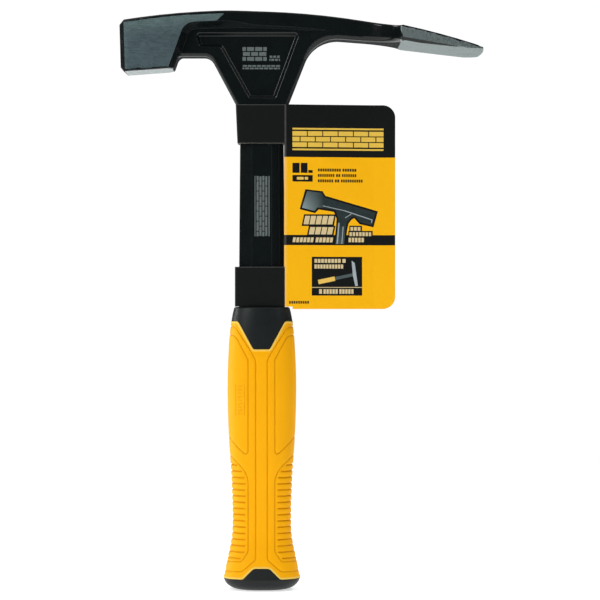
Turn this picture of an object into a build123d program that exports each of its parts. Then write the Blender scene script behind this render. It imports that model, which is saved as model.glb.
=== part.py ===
"""Brick hammer with a one-piece steel head and shank, a two-shot moulded grip and its card sleeve.

Millimetres. +Z runs up the handle, +X towards the chisel blade, -Y is the front.
The origin is the middle of the butt's flat bottom face, on the handle's axis.
"""

from build123d import *
from math import cos, copysign, radians, sin, sqrt
import os

os.makedirs("parts", exist_ok=True)

# ---------------------------------------------------------------- driving dimensions
overall_height = 299.3
poll_reach = 73.4  # handle axis to the striking face
blade_reach = 114.6  # handle axis to the middle of the cutting edge
poll_width = 26.0
bar_width = 18.0  # head bar between the poll and the blade
web_width = 14.0  # tapered web under the bar
blade_width = 50.0
shank_thickness = 12.0
collar_top = 146.4  # where the grip starts and the steel shank shows
sleeve_wall = 2.6
card_bottom, card_top = 145.3, 251.2
card_reach = 69.3
card_gauge = 0.45

poll_half = poll_width / 2
bar_half = bar_width / 2
web_half = web_width / 2
blade_half = blade_width / 2
shank_half = shank_thickness / 2

# ---------------------------------------------------------------- head outline, front view
crown_x = -10.2  # the head's top is one arc with its summit here
crown_radius = 392.0
face_lean = 0.8  # the striking face's foot sits this much nearer the handle
poll_bottom_z = 267.6
poll_heel = (-45.5, 269.5)
poll_back_slope = 0.345  # sideways run over rise
arm_bottom_z = 276.0
neck_top_z = 250.0
neck_top_left, neck_top_right = -12.7, 13.2
flare_left_top = -26.6  # left side of the web at the arm's underside
flare_right_top = (27.3, 285.8)
blade_root = (71.3, 282.4)
bevel_start = (106.0, 278.5)
edge_land = 0.4  # thickness left at the cutting edge
spare = 12.0  # extra stock that a later outline trims away
tall = 80.0  # more than the head's height


def crown_at(x, drop=0.0):
    """Height of the head's top arc at x, or of an arc that runs a fixed distance under it."""
    return overall_height - crown_radius + sqrt((crown_radius - drop) ** 2 - (x - crown_x) ** 2)


def corner_near(sketch, x, z):
    """The vertex of a front-view sketch nearest to a point."""
    return sketch.vertices().sort_by(lambda v: (v.X - x) ** 2 + (v.Z - z) ** 2)[0]


strike_top = (-poll_reach, crown_at(-poll_reach))
strike_bottom = (-poll_reach + face_lean, poll_bottom_z)
armpit = (poll_heel[0] + (arm_bottom_z - poll_heel[1]) * poll_back_slope, arm_bottom_z)
edge_top = (blade_reach, crown_at(blade_reach))

with BuildSketch(Plane.XZ) as head_outline:
    with BuildLine():
        ThreePointArc(strike_top, (crown_x, overall_height), edge_top)
        Polyline(
            edge_top,
            (blade_reach, edge_top[1] - edge_land),
            bevel_start,
            blade_root,
            flare_right_top,
            (neck_top_right, neck_top_z),
            (neck_top_left, neck_top_z),
            (flare_left_top, arm_bottom_z),
            armpit,
            poll_heel,
            strike_bottom,
            strike_top,
        )
    make_face()
    fillet(corner_near(head_outline, *armpit), 3.5)
    fillet(corner_near(head_outline, flare_left_top, arm_bottom_z), 5.5)
    fillet(corner_near(head_outline, *flare_right_top), 18)

# ---------------------------------------------------------------- poll and bar, front half
bar_drop = 8.5  # crown to the foot of the bar's sloping wall
wall_draft = 29.0  # slope of the poll's and the bar's side walls, degrees
wall_corner_x = -37.3  # where the poll's back wall turns into the bar's lower wall
wall_setback = 0.6  # poll heel to the foot of its side wall
waist_start, waist_end = -22.0, 2.0  # poll width narrows to bar width
swell_start, swell_end = 22.0, 36.0  # web width grows to bar width
bar_end = swell_end + 4  # inside the blade's arm

with BuildPart() as poll_and_bar:
    wall_corner = (wall_corner_x, crown_at(wall_corner_x, bar_drop))
    wall_end = (bar_end, crown_at(bar_end, bar_drop))
    with BuildSketch(Plane.XZ.offset(web_half)) as raised:
        with BuildLine():
            ThreePointArc(wall_corner, (0, crown_at(0, bar_drop)), wall_end)
            Polyline(
                wall_end,
                (bar_end, overall_height + spare),
                (-poll_reach - spare, overall_height + spare),
                (-poll_reach - spare, poll_heel[1] - spare),
                (poll_heel[0] + wall_setback - spare * poll_back_slope, poll_heel[1] - spare),
                wall_corner,
            )
        make_face()
        fillet(corner_near(raised, *wall_corner), 4)
    extrude(amount=poll_half - web_half, taper=wall_draft)
    extrude(raised.sketch, amount=-web_half)
    with BuildSketch(Plane.XY.offset(neck_top_z)):
        with BuildLine():
            Spline((waist_start, -poll_half), (waist_end, -bar_half), tangents=[(1, 0), (1, 0)])
            Polyline(
                (waist_end, -bar_half),
                (blade_reach, -bar_half),
                (blade_reach, 0),
                (-poll_reach - spare, 0),
                (-poll_reach - spare, -poll_half),
                (waist_start, -poll_half),
            )
        make_face()
    extrude(amount=tall, mode=Mode.INTERSECT)
    extrude(head_outline.sketch, amount=poll_half, mode=Mode.INTERSECT)

# ---------------------------------------------------------------- steel forging
fishtail_start, fishtail_end = 52.0, 71.3  # bar width flares to blade width
edge_bow = 1.4  # the cutting edge's middle stands this far beyond its ends
tip_corner = 4.0
right_edge_radius, left_edge_radius = 2.5, 2.0  # web edges
crown_edge_radius, blade_edge_radius = 1.2, 0.5
strike_chamfer = 2.3
blade_chamfer = 2.4  # under the blade's sides, running out at the bevel
recess_depth = 2.0
recess_draft = 35.0
recess_corner = 2.0
recess_rim_radius, recess_floor_radius = 0.7, 0.8
poll_edge_radius = 0.8
recess_left, recess_right, recess_bottom_z, recess_top_z = -34.5, 19.7, 254.4, 288.2
recess_outline = [
    (recess_left, recess_top_z),
    (-32.0, 281.0),
    (-21.5, 281.0),
    (-6.5, recess_bottom_z),
    (7.2, recess_bottom_z),
    (recess_right, recess_top_z),
]

neck_bottom_z = 233.0
shank_bottom_z = 140.0
shank_half_top, shank_half_bottom = 11.3, 12.0
shank_flat_half = 5.8  # half the flat on the shank's front
shank_side_half = 3.3  # half the flat on the shank's side
shank_edge_radius = 0.8
shank_plate_half, shank_plate_rise = 5.2, 0.5
tang_bottom_z = 20.0
tang_width, tang_thickness = 17.0, 9.0
tang_hole_radius = 2.5
tang_hole_heights = (35.0, 77.0, 119.0)


def eight_sided(height, left, right, half_depth, flat_inset, side_half):
    """Face across the shank: flat front, back and sides, with facets between them."""
    corners = [
        (right - flat_inset, half_depth),
        (right, side_half),
        (right, -side_half),
        (right - flat_inset, -half_depth),
        (left + flat_inset, -half_depth),
        (left, -side_half),
        (left, side_half),
        (left + flat_inset, half_depth),
    ]
    with BuildSketch(Plane.XY.offset(height)) as section:
        Polygon(*corners, align=None)
        by_side = section.vertices().group_by(Axis.X)
        fillet(by_side[0] + by_side[-1], shank_edge_radius)
    return section.sketch


with BuildPart() as steel_forging:
    # Front half of the web, the arm and the blade
    extrude(head_outline.sketch, amount=blade_half)
    with BuildSketch(Plane.XY.offset(neck_top_z - spare)) as blade_plan:
        with BuildLine():
            Polyline(
                (blade_reach, 0),
                (-poll_reach - spare, 0),
                (-poll_reach - spare, -web_half),
                (swell_start, -web_half),
            )
            Spline((swell_start, -web_half), (swell_end, -bar_half), tangents=[(1, 0), (1, 0)])
            Line((swell_end, -bar_half), (fishtail_start, -bar_half))
            TangentArc((fishtail_start, -bar_half), (fishtail_end, -blade_half), tangent=(1, 0))
            edge_end = (blade_reach - edge_bow, -blade_half)
            Line((fishtail_end, -blade_half), edge_end)
            TangentArc((blade_reach, 0), edge_end, tangent=(0, -1))
        make_face()
        tip = blade_plan.vertices().sort_by(lambda v: (v.X - edge_end[0]) ** 2 + (v.Y - edge_end[1]) ** 2)
        fillet(tip[0], tip_corner)
    extrude(amount=tall, mode=Mode.INTERSECT)
    add(poll_and_bar.part)

    # Rounded lower edges on both sides of the web
    front_edges = steel_forging.edges().filter_by_position(Axis.Y, -blade_half, 0.01 - web_half)
    lower_edges = front_edges.filter_by(Axis.Z, reverse=True).filter_by_position(
        Axis.Z, neck_top_z, flare_right_top[1], (False, False)
    )
    fillet(lower_edges.filter_by_position(Axis.X, neck_top_right, fishtail_end), right_edge_radius)
    left_edges = lower_edges.filter_by_position(Axis.X, poll_heel[0], neck_top_left)
    fillet(left_edges.filter_by_position(Axis.Z, neck_top_z, arm_bottom_z + 0.1), left_edge_radius)

    # Rounded top edges
    def on_crown(edge):
        middle = edge.center()
        return abs(middle.Z - crown_at(middle.X)) < 1 and edge.length > 4 * tip_corner

    def beside_blade(edge):
        return fishtail_end < edge.center().X < bevel_start[0]

    bar_edges = front_edges.filter_by(on_crown).filter_by_position(Axis.X, -poll_reach, fishtail_end)
    fillet(bar_edges, crown_edge_radius)
    fillet(steel_forging.edges().filter_by(on_crown).filter_by(beside_blade), blade_edge_radius)

    # Chamfer under the blade's side
    with BuildSketch(Plane.XZ.offset(blade_half)):
        with BuildLine():
            Polyline(
                (fishtail_end - 1.5, blade_root[1] + blade_chamfer),
                bevel_start,
                (bevel_start[0], poll_bottom_z),
                (fishtail_end - 1.5, poll_bottom_z),
                close=True,
            )
        make_face()
    extrude(amount=-blade_chamfer, taper=45, mode=Mode.SUBTRACT)

    # Recessed panel in the web
    with BuildSketch(Plane.XZ.offset(web_half)) as recess:
        with BuildLine():
            Polyline(*recess_outline, close=True)
        make_face()
        fillet(recess.vertices(), recess_corner)
    extrude(amount=-recess_depth, taper=recess_draft, mode=Mode.SUBTRACT)

    def around_recess(edge):
        middle = edge.center()
        beside = recess_left < middle.X < recess_right
        return beside and recess_bottom_z - 0.1 < middle.Z < recess_top_z + 0.1

    recess_edges = steel_forging.edges().filter_by(around_recess)
    floor_y = recess_depth - web_half
    fillet(recess_edges.filter_by_position(Axis.Y, floor_y, floor_y), recess_floor_radius)
    fillet(recess_edges.filter_by_position(Axis.Y, -web_half, -web_half), recess_rim_radius)

    # Rounded lower edges of the poll, except round the striking face
    def under_poll(edge):
        middle = edge.center()
        behind_face = strike_bottom[0] + 1 < middle.X < poll_heel[0] + 2
        return behind_face and middle.Y < -0.1 and middle.Z < poll_heel[1] + 0.2

    fillet(steel_forging.edges().filter_by(under_poll), poll_edge_radius)

    mirror(about=Plane.XZ)

    # Chamfer round the striking face: the head is trimmed by a wide 45 degree frustum
    face_height = strike_top[1] - strike_bottom[1]
    face_middle = ((strike_top[0] + strike_bottom[0]) / 2, 0, (strike_top[1] + strike_bottom[1]) / 2)
    face_plane = Plane(origin=face_middle, x_dir=(0, 1, 0), z_dir=(face_height, 0, face_lean))
    frustum_depth = poll_reach + blade_reach + spare
    with BuildSketch(face_plane):
        Rectangle(poll_width - 2 * strike_chamfer, face_height - 2 * strike_chamfer)
    with BuildSketch(face_plane.offset(frustum_depth)):
        Rectangle(
            poll_width - 2 * strike_chamfer + 2 * frustum_depth,
            face_height - 2 * strike_chamfer + 2 * frustum_depth,
        )
    loft(mode=Mode.INTERSECT)
    print("head above the neck, cm3:", round(steel_forging.part.volume / 1000, 1))

    # Neck, shank and tang
    neck_facet = 2.2
    shank_depth = shank_half - shank_plate_rise
    shank_top_face = eight_sided(
        neck_bottom_z,
        -shank_half_top,
        shank_half_top,
        shank_depth,
        shank_half_top - shank_flat_half,
        shank_side_half,
    )
    loft(
        sections=[
            eight_sided(
                neck_top_z, neck_top_left, neck_top_right, web_half, neck_facet, web_half - neck_facet
            ),
            shank_top_face,
        ],
        ruled=True,
    )
    loft(
        sections=[
            shank_top_face,
            eight_sided(
                shank_bottom_z,
                -shank_half_bottom,
                shank_half_bottom,
                shank_depth,
                shank_half_bottom - shank_flat_half,
                shank_side_half,
            ),
        ],
        ruled=True,
    )
    with BuildSketch(Plane.XY.offset(shank_bottom_z)):
        Rectangle(2 * shank_plate_half, shank_thickness)
    extrude(amount=neck_bottom_z + 7 - shank_bottom_z)

    with BuildSketch(Plane.XY.offset(tang_bottom_z)):
        RectangleRounded(tang_width, tang_thickness, 2)
    extrude(amount=shank_bottom_z - tang_bottom_z)
    with BuildSketch(Plane.XZ):
        with Locations(*[(0, height) for height in tang_hole_heights]):
            Circle(tang_hole_radius)
    extrude(amount=tang_thickness, both=True, mode=Mode.SUBTRACT)

steel_forging.part.label = "steel_forging"
export_step(steel_forging.part, "parts/steel_forging.step")

# ---------------------------------------------------------------- grip's outer shape
grip_depth_ratio = 0.76  # front-to-back depth over side-to-side width
corner_power = 2.5  # 2 would be an ellipse, more is squarer
collar_edge_radius = 1.2
cap_top_z = 5.8
cap_stations = [(0.0, 11.5), (0.5, 14.0), (1.6, 16.6), (3.2, 18.5), (cap_top_z, 19.8)]
grip_stations = [
    (cap_top_z, 19.8),
    (9.6, 19.1),
    (17.4, 17.6),
    (25.7, 15.9),
    (35.6, 15.3),
    (50.7, 15.6),
    (65.5, 16.3),
    (80.3, 17.2),
    (95.0, 17.7),
    (108.4, 17.8),
    (125.1, 17.2),
    (138.6, 15.9),
    (collar_top, 14.3),
]
section_points = 24


def grip_section(height, half_width, inset=0.0):
    """Face across the grip: a rounded shape that is flatter in front and behind than an ellipse."""
    half_depth = half_width * grip_depth_ratio - inset
    points = []
    for step in range(section_points):
        angle = radians(360 * step / section_points)
        along, across = cos(angle), sin(angle)
        x = copysign(abs(along) ** (2 / corner_power), along) * (half_width - inset)
        y = copysign(abs(across) ** (2 / corner_power), across) * half_depth
        points.append((x, y))
    with BuildSketch(Plane.XY.offset(height)) as section:
        with BuildLine():
            Spline(*points, periodic=True)
        make_face()
    return section.sketch


# Front-view outlines of the black collar with its V, and of the black cap with its tongue
grip_wide = 25.0
v_shoulder = (12.1, 139.0)
v_tip = (4.2, 124.6)
tongue_foot = (9.9, 6.1)
tongue_tip = (4.0, 11.7)

with BuildSketch(Plane.XZ) as collar_outline:
    with BuildLine():
        Polyline(
            (grip_wide, v_shoulder[1]),
            v_shoulder,
            v_tip,
            (-v_tip[0], v_tip[1]),
            (-v_shoulder[0], v_shoulder[1]),
            (-grip_wide, v_shoulder[1]),
            (-grip_wide, collar_top + 1),
            (grip_wide, collar_top + 1),
            close=True,
        )
    make_face()
    for side in (-1, 1):
        fillet(corner_near(collar_outline, side * v_shoulder[0], v_shoulder[1]), 1.5)
        fillet(corner_near(collar_outline, side * v_tip[0], v_tip[1]), 0.8)

with BuildSketch(Plane.XZ) as cap_outline:
    with BuildLine():
        Polyline(
            (grip_wide, tongue_foot[1]),
            tongue_foot,
            tongue_tip,
            (-tongue_tip[0], tongue_tip[1]),
            (-tongue_foot[0], tongue_foot[1]),
            (-grip_wide, tongue_foot[1]),
            (-grip_wide, -1),
            (grip_wide, -1),
            close=True,
        )
    make_face()
    for side in (-1, 1):
        fillet(corner_near(cap_outline, side * tongue_foot[0], tongue_foot[1]), 1.0)
        fillet(corner_near(cap_outline, side * tongue_tip[0], tongue_tip[1]), 2.0)

with BuildPart() as grip_envelope:
    loft(sections=[grip_section(height, half_width) for height, half_width in grip_stations])
    loft(sections=[grip_section(height, half_width) for height, half_width in cap_stations])
    fillet(grip_envelope.edges().sort_by(Axis.Z)[-1], collar_edge_radius)

with BuildPart() as collar_block:
    extrude(collar_outline.sketch, amount=grip_wide, both=True)

with BuildPart() as cap_block:
    extrude(cap_outline.sketch, amount=grip_wide, both=True)

# ---------------------------------------------------------------- grip core
core_bottom_z = 4.0
plug_width, plug_depth, plug_length = 15.0, 9.0, 8.0

with BuildPart() as core_barrel:
    barrel_stations = [(core_bottom_z, 19.4)] + grip_stations[1:]
    loft(sections=[grip_section(height, half_width, sleeve_wall) for height, half_width in barrel_stations])

with BuildPart() as grip_core:
    add(grip_envelope.part)
    add(collar_block.part, mode=Mode.INTERSECT)
    add(core_barrel.part)
    add(steel_forging.part, mode=Mode.SUBTRACT)
    with BuildSketch(Plane.XY.offset(core_bottom_z)):
        RectangleRounded(plug_width, plug_depth, 2)
    extrude(amount=plug_length, mode=Mode.SUBTRACT)

grip_core.part.label = "grip_core"
export_step(grip_core.part, "parts/grip_core.step")

# ---------------------------------------------------------------- grip sleeve
with BuildPart() as grip_sleeve:
    add(grip_envelope.part)
    add(core_barrel.part, mode=Mode.SUBTRACT)
    add(collar_block.part, mode=Mode.SUBTRACT)
    add(cap_block.part, mode=Mode.SUBTRACT)

grip_sleeve.part.label = "grip_sleeve"
export_step(grip_sleeve.part, "parts/grip_sleeve.step")

# ---------------------------------------------------------------- butt cap
with BuildPart() as butt_cap:
    add(grip_envelope.part)
    add(cap_block.part, mode=Mode.INTERSECT)
    add(core_barrel.part, mode=Mode.SUBTRACT)
    with BuildSketch(Plane.XY.offset(core_bottom_z)):
        RectangleRounded(plug_width, plug_depth, 2)
    extrude(amount=plug_length)

butt_cap.part.label = "butt_cap"
export_step(butt_cap.part, "parts/butt_cap.step")

# ---------------------------------------------------------------- retail card
card_leaf_start = 12.0  # the leaves leave the shank here
card_glue_start = 58.0  # and meet here
card_left = -13.9
card_corner = 6.5
upper_band_z = 231.0  # foot of the band round the neck
lower_band_z = 167.2  # top of the band above the grip
band_bottom_z = 146.6
collar_clearance_x = 16.0

with BuildPart() as retail_card:
    with BuildSketch(Plane.XY.offset(card_bottom)) as fold:
        with BuildLine():
            Polyline(
                (card_left, -web_half - card_gauge),
                (card_leaf_start, -web_half - card_gauge),
                (card_glue_start, -card_gauge),
                (card_reach, -card_gauge),
                (card_reach, card_gauge),
                (card_glue_start, card_gauge),
                (card_leaf_start, web_half + card_gauge),
                (card_left, web_half + card_gauge),
                close=True,
            )
        make_face()
        fillet(fold.vertices().group_by(Axis.X)[0], 1.2)
        with BuildLine():
            Polyline(
                (card_left + card_gauge, -web_half),
                (card_leaf_start, -web_half),
                (card_glue_start, 0),
                (card_leaf_start, web_half),
                (card_left + card_gauge, web_half),
                close=True,
            )
        make_face(mode=Mode.SUBTRACT)
    extrude(amount=card_top - card_bottom)
    with BuildSketch(Plane.XZ) as panel:
        with BuildLine():
            Polyline(
                (card_left - 1, card_top),
                (card_reach, card_top),
                (card_reach, card_bottom),
                (collar_clearance_x, card_bottom),
                (collar_clearance_x, band_bottom_z),
                (card_left - 1, band_bottom_z),
                (card_left - 1, lower_band_z),
                (card_leaf_start, lower_band_z),
                (card_leaf_start, upper_band_z),
                (card_left - 1, upper_band_z),
                close=True,
            )
        make_face()
        fillet(panel.vertices().group_by(Axis.X)[-1], card_corner)
    extrude(amount=web_width, both=True, mode=Mode.INTERSECT)

retail_card.part.label = "retail_card"
export_step(retail_card.part, "parts/retail_card.step")
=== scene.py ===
"""Looks of the brick hammer: finishes, the moulded grip sleeve, the printed card, studio and camera.

Blender works in metres. The sizes and places here are in millimetres, in the frame of part.py:
+Z up the handle, +X towards the chisel blade, -Y the front, origin under the butt.
"""

import math

import bpy
import numpy as np
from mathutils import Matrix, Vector
from mathutils.geometry import delaunay_2d_cdt


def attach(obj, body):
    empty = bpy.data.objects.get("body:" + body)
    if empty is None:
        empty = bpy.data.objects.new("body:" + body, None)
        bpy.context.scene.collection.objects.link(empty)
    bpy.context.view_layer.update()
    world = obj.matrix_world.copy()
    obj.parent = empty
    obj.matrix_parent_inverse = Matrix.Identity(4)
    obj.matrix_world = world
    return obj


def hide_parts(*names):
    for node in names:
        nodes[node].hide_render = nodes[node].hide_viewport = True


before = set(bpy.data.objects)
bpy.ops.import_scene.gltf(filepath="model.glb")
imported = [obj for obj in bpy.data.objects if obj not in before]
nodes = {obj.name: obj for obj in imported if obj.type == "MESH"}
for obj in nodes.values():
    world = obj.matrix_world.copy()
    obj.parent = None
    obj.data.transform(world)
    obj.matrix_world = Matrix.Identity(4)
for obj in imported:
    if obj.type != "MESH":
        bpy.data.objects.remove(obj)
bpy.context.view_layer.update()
scene = bpy.context.scene

MM = 0.001


# ---------------------------------------------------------------- shader helpers
class Shader:
    """A node material whose coordinates are millimetres in the shared frame."""

    def __init__(self, name):
        self.material = bpy.data.materials.new(name)
        self.material.use_nodes = True
        self.tree = self.material.node_tree
        self.tree.nodes.clear()
        here = self.add("ShaderNodeTexCoord")
        self.place = self.vector("MULTIPLY", here.outputs["Object"], (1000, 1000, 1000))
        self.x, self.y, self.z = self.split(self.place)
        self.nx, self.ny, self.nz = self.split(here.outputs["Normal"])

    def add(self, kind, inputs=None, **settings):
        """A node with its settings; an input is a number, a tuple or another node's socket."""
        node = self.tree.nodes.new(kind)
        for key, value in settings.items():
            setattr(node, key, value)
        for key, value in (inputs or {}).items():
            if isinstance(value, bpy.types.NodeSocket):
                self.tree.links.new(value, node.inputs[key])
            else:
                node.inputs[key].default_value = value
        return node

    def math(self, operation, *values):
        return self.add("ShaderNodeMath", dict(enumerate(values)), operation=operation).outputs[0]

    def plus(self, first, second):
        return self.math("ADD", first, second)

    def minus(self, first, second):
        return self.math("SUBTRACT", first, second)

    def times(self, first, *others):
        for other in others:
            first = self.math("MULTIPLY", first, other)
        return first

    def most(self, first, *others):
        for other in others:
            first = self.math("MAXIMUM", first, other)
        return first

    def vector(self, operation, *values, output=0):
        node = self.add("ShaderNodeVectorMath", dict(enumerate(values)), operation=operation)
        return node.outputs[output]

    def split(self, value):
        return self.add("ShaderNodeSeparateXYZ", {0: value}).outputs[:3]

    def join(self, x, y, z):
        return self.add("ShaderNodeCombineXYZ", {0: x, 1: y, 2: z}).outputs[0]

    def scaled(self, x, y, z):
        """The place, stretched along each axis."""
        return self.vector("MULTIPLY", self.place, (x, y, z))

    def noise(self, scale, detail=2.0, rough=0.5, place=None):
        inputs = {"Vector": place or self.place, "Scale": scale, "Detail": detail, "Roughness": rough}
        return self.add("ShaderNodeTexNoise", inputs).outputs["Fac"]

    def fit(self, value, low, high, to_low=0.0, to_high=1.0, smooth=False):
        """The value's range from low to high, laid on another range and held there."""
        inputs = {0: value, 1: low, 2: high, 3: to_low, 4: to_high}
        kind = "SMOOTHSTEP" if smooth else "LINEAR"
        return self.add("ShaderNodeMapRange", inputs, interpolation_type=kind).outputs[0]

    def above(self, value, edge, soft):
        """1 where the value is above the edge, 0 where it is below."""
        return self.fit(value, edge - soft, edge + soft, smooth=True)

    def below(self, value, edge, soft):
        return self.fit(value, edge - soft, edge + soft, 1.0, 0.0, smooth=True)

    def between(self, value, low, high, soft):
        return self.times(self.above(value, low, soft), self.below(value, high, soft))

    def mix(self, share, first, second):
        """A colour between two colours or sockets."""
        node = self.add("ShaderNodeMix", {0: share}, data_type="RGBA")
        for key, value in ((6, first), (7, second)):
            if isinstance(value, bpy.types.NodeSocket):
                self.tree.links.new(value, node.inputs[key])
            else:
                node.inputs[key].default_value = (*value, 1.0)
        return node.outputs[2]

    def blend(self, share, first, second):
        """A number between two numbers or sockets."""
        node = self.add("ShaderNodeMix", {0: share, 2: first, 3: second}, data_type="FLOAT")
        return node.outputs[0]

    def bump(self, height, distance, strength=1.0, normal=None):
        inputs = {"Height": height, "Distance": distance * MM, "Strength": strength}
        if normal:
            inputs["Normal"] = normal
        return self.add("ShaderNodeBump", inputs).outputs[0]

    def finish(self, color, rough, normal=None, metallic=0.0, **constants):
        """The finished material; constants are set on the shader's own sockets."""
        inputs = {"Base Color": color, "Roughness": rough, "Metallic": metallic}
        if normal:
            inputs["Normal"] = normal
        inputs.update({key.replace("_", " "): value for key, value in constants.items()})
        surface = self.add("ShaderNodeBsdfPrincipled", inputs)
        self.add("ShaderNodeOutputMaterial", {0: surface.outputs[0]})
        return self.material


def dress(node, material):
    for slot in nodes[node].material_slots:
        slot.material = material


# ---------------------------------------------------------------- steel forging's finish
OVERALL_HEIGHT = 299.3
CROWN_X, CROWN_RADIUS = -10.2, 392.0  # the head's top is one arc
STRIKE_X, HEEL_X = -73.0, -45.0  # the poll, from its striking face to its heel
POLL_FOOT = 271.0  # the poll's underside lies lower than this
POLL_DEPTH = 12.8  # the poll's flat sides lie further out than this
PAINTED_STRIP_TOP = (268.8, 270.5)  # top of the painted strip on the poll's sides, at its face and its heel
TONGUE_X = -19.7  # the sides' bare steel ends here, in a slanting tongue
TONGUE_FOOT, TONGUE_TOP = 293.5, 297.5
TONGUE_SLANT = (4.0, -0.3)  # how far the tongue's end lies short of TONGUE_X, at its foot and its top
PAINTED_RIM = 1.6  # paint left on the poll's sides under the top arc
BLADE_X = 71.4  # the blade's bare steel starts here
BLADE_LINE_FOOT, BLADE_LINE_TOP = 284.0, 291.0  # between these heights the start slants by 1 mm each way
BARE_TIP_X = 110.8  # the blade's top is painted as far as this
BLADE_EDGE_DEPTH = 23.5  # the chamfer under the blade is painted further out than this
MIDDLE_X = 60.0  # a place between the poll's steel and the blade's

PAINT = (0.0030, 0.0044, 0.0047), (0.0056, 0.0088, 0.0090)
# The next tone is paint worn thin over the edges, and also a painted highlight along them
THIN_PAINT_AND_EDGE_HIGHLIGHT = (0.035, 0.041, 0.043)
ETCHED = (0.085, 0.105, 0.105), (0.145, 0.170, 0.170)
POLL_STEEL = (0.185, 0.275, 0.308), (0.262, 0.375, 0.408)
# The next tone is a painted reflection that lightens the poll's sides
POLL_REFLECTION_STEEL = (0.38, 0.55, 0.55)
# The next tone is a painted reflection of the floor on the poll's underside
FLOOR_REFLECTION_STEEL = (0.60, 0.66, 0.66)
STRIKE_STEEL = (0.33, 0.385, 0.395)
BLADE_STEEL = (0.29, 0.37, 0.36), (0.38, 0.46, 0.45)
# The next tone is a painted highlight on the blade's flat sides
BLADE_SIDE_HIGHLIGHT_STEEL = (0.60, 0.72, 0.71)
PITS = (0.09, 0.11, 0.11)
BELT_MARKS = (0.10, 0.12, 0.125)

WEB_WALLS = (  # first brick's start, left, right, foot, top, brick's length, row's height, mortar
    (-10.0, -10.0, 2.6, 273.8, 281.2, 4.2, 2.56, 0.3),
    (3.8, 3.9, 9.4, 273.8, 276.8, 1.9, 1.6, 0.25),
    (-10.0, -10.0, 9.4, 269.5, 271.9, 2.45, 1.3, 0.22),
)
WEB_ROWS_DROP = 0.2  # a wall's first row starts this far under its foot
WEB_FLOOR_DEPTH, PLATE_DEPTH = 5.0, 6.0  # the web's recessed floor and the shank's raised plate
SHANK_MARK_FOOT, SHANK_MARK_TOP = 183.0, 214.2
SHANK_WALL = (-2.9, -2.75, 3.0, 5.2, 1.5, 0.22)  # first row's start, left, right, then as for the web
SHANK_RAILS = ((-3.7, -3.25), (3.45, 4.1))
MARK_SOFT = 0.08

PAINT_ROUGH, ETCHED_ROUGH, STEEL_ROUGH = (0.13, 0.19), 0.55, (0.30, 0.44)
PAINT_THICKNESS, GRAIN_HEIGHT = 0.05, 0.012


def below_crown(s):
    """How far a place is under the head's top arc."""
    along = s.plus(s.x, -CROWN_X)
    rise = s.math("SQRT", s.minus(CROWN_RADIUS**2, s.times(along, along)))
    return s.minus(s.plus(rise, OVERALL_HEIGHT - CROWN_RADIUS), s.z)


def poll_side_region(s, side, depth, drop, wander):
    """The poll's flat sides and their tongue, between the painted strip and the painted rim."""
    strip_top = s.plus(s.fit(s.x, STRIKE_X, HEEL_X, *PAINTED_STRIP_TOP), wander)
    tongue = s.plus(s.x, s.fit(s.z, TONGUE_FOOT, TONGUE_TOP, *TONGUE_SLANT))
    return s.times(
        side,
        s.above(depth, POLL_DEPTH, 0.1),
        s.below(tongue, TONGUE_X, 0.25),
        s.above(s.minus(s.z, strip_top), 0.0, 0.15),
        s.above(s.plus(drop, s.times(wander, 0.4)), PAINTED_RIM, 0.15),
    )


def blade_region(s, facing, depth, drop, wander):
    """The blade, less the paint left on its top and on the outer part of the chamfer under it."""
    slant = s.fit(s.z, BLADE_LINE_FOOT, BLADE_LINE_TOP, 1.0, -1.0)
    line = s.plus(s.times(slant, s.fit(facing, 0.4, 0.6)), wander)
    blade = s.above(s.minus(s.x, line), BLADE_X, 0.12)
    tip = s.plus(s.x, s.times(wander, 3.0))
    left_on_top = s.times(s.below(tip, BARE_TIP_X, 0.3), s.below(s.plus(drop, wander), 0.9, 0.15))
    left_below = s.times(
        s.between(facing, 0.5, 0.85, 0.05),
        s.above(depth, BLADE_EDGE_DEPTH, 0.15),
        s.below(s.nz, -0.3, 0.1),
    )
    return s.times(blade, s.minus(1.0, s.most(left_on_top, left_below)))


def bricks(s, along, across, length, row, mortar):
    """Plain brick bond: 1 on the bricks, 0 on the mortar."""
    inputs = {"Vector": s.join(along, across, 0.0), "Scale": 1.0}
    inputs.update({"Mortar Size": mortar, "Mortar Smooth": 0.15, "Brick Width": length, "Row Height": row})
    wall = s.add("ShaderNodeTexBrick", inputs, offset=0.5)
    return s.minus(1.0, wall.outputs["Fac"])


def laser_marks(s, depth):
    """Brick bond on the web's front and on both of the shank's raised plates, in place of words."""
    walls = []
    for start, left, right, foot, top, length, row, mortar in WEB_WALLS:
        pattern = bricks(s, s.plus(s.x, -start), s.plus(s.z, WEB_ROWS_DROP - foot), length, row, mortar)
        across, up = s.between(s.x, left, right, MARK_SOFT), s.between(s.z, foot, top, MARK_SOFT)
        walls.append(s.times(across, up, pattern))
    on_floor = s.between(depth, WEB_FLOOR_DEPTH - 0.2, WEB_FLOOR_DEPTH + 0.2, 0.05)
    on_web = s.times(s.below(s.ny, -0.9, 0.05), on_floor)

    on_plate = s.times(s.above(s.math("ABSOLUTE", s.ny), 0.9, 0.05), s.above(depth, PLATE_DEPTH - 0.1, 0.05))
    on_plate = s.times(on_plate, s.between(s.z, SHANK_MARK_FOOT, SHANK_MARK_TOP, MARK_SOFT))
    start, left, right, length, row, mortar = SHANK_WALL
    pattern = bricks(s, s.plus(s.z, -SHANK_MARK_FOOT), s.plus(s.x, -start), length, row, mortar)
    shank_wall = s.times(s.between(s.x, left, right, MARK_SOFT), pattern)
    rails = [s.between(s.x, *rail, 0.06) for rail in SHANK_RAILS]
    return s.most(s.times(on_web, s.most(*walls)), s.times(on_plate, s.most(shank_wall, *rails)))


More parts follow.
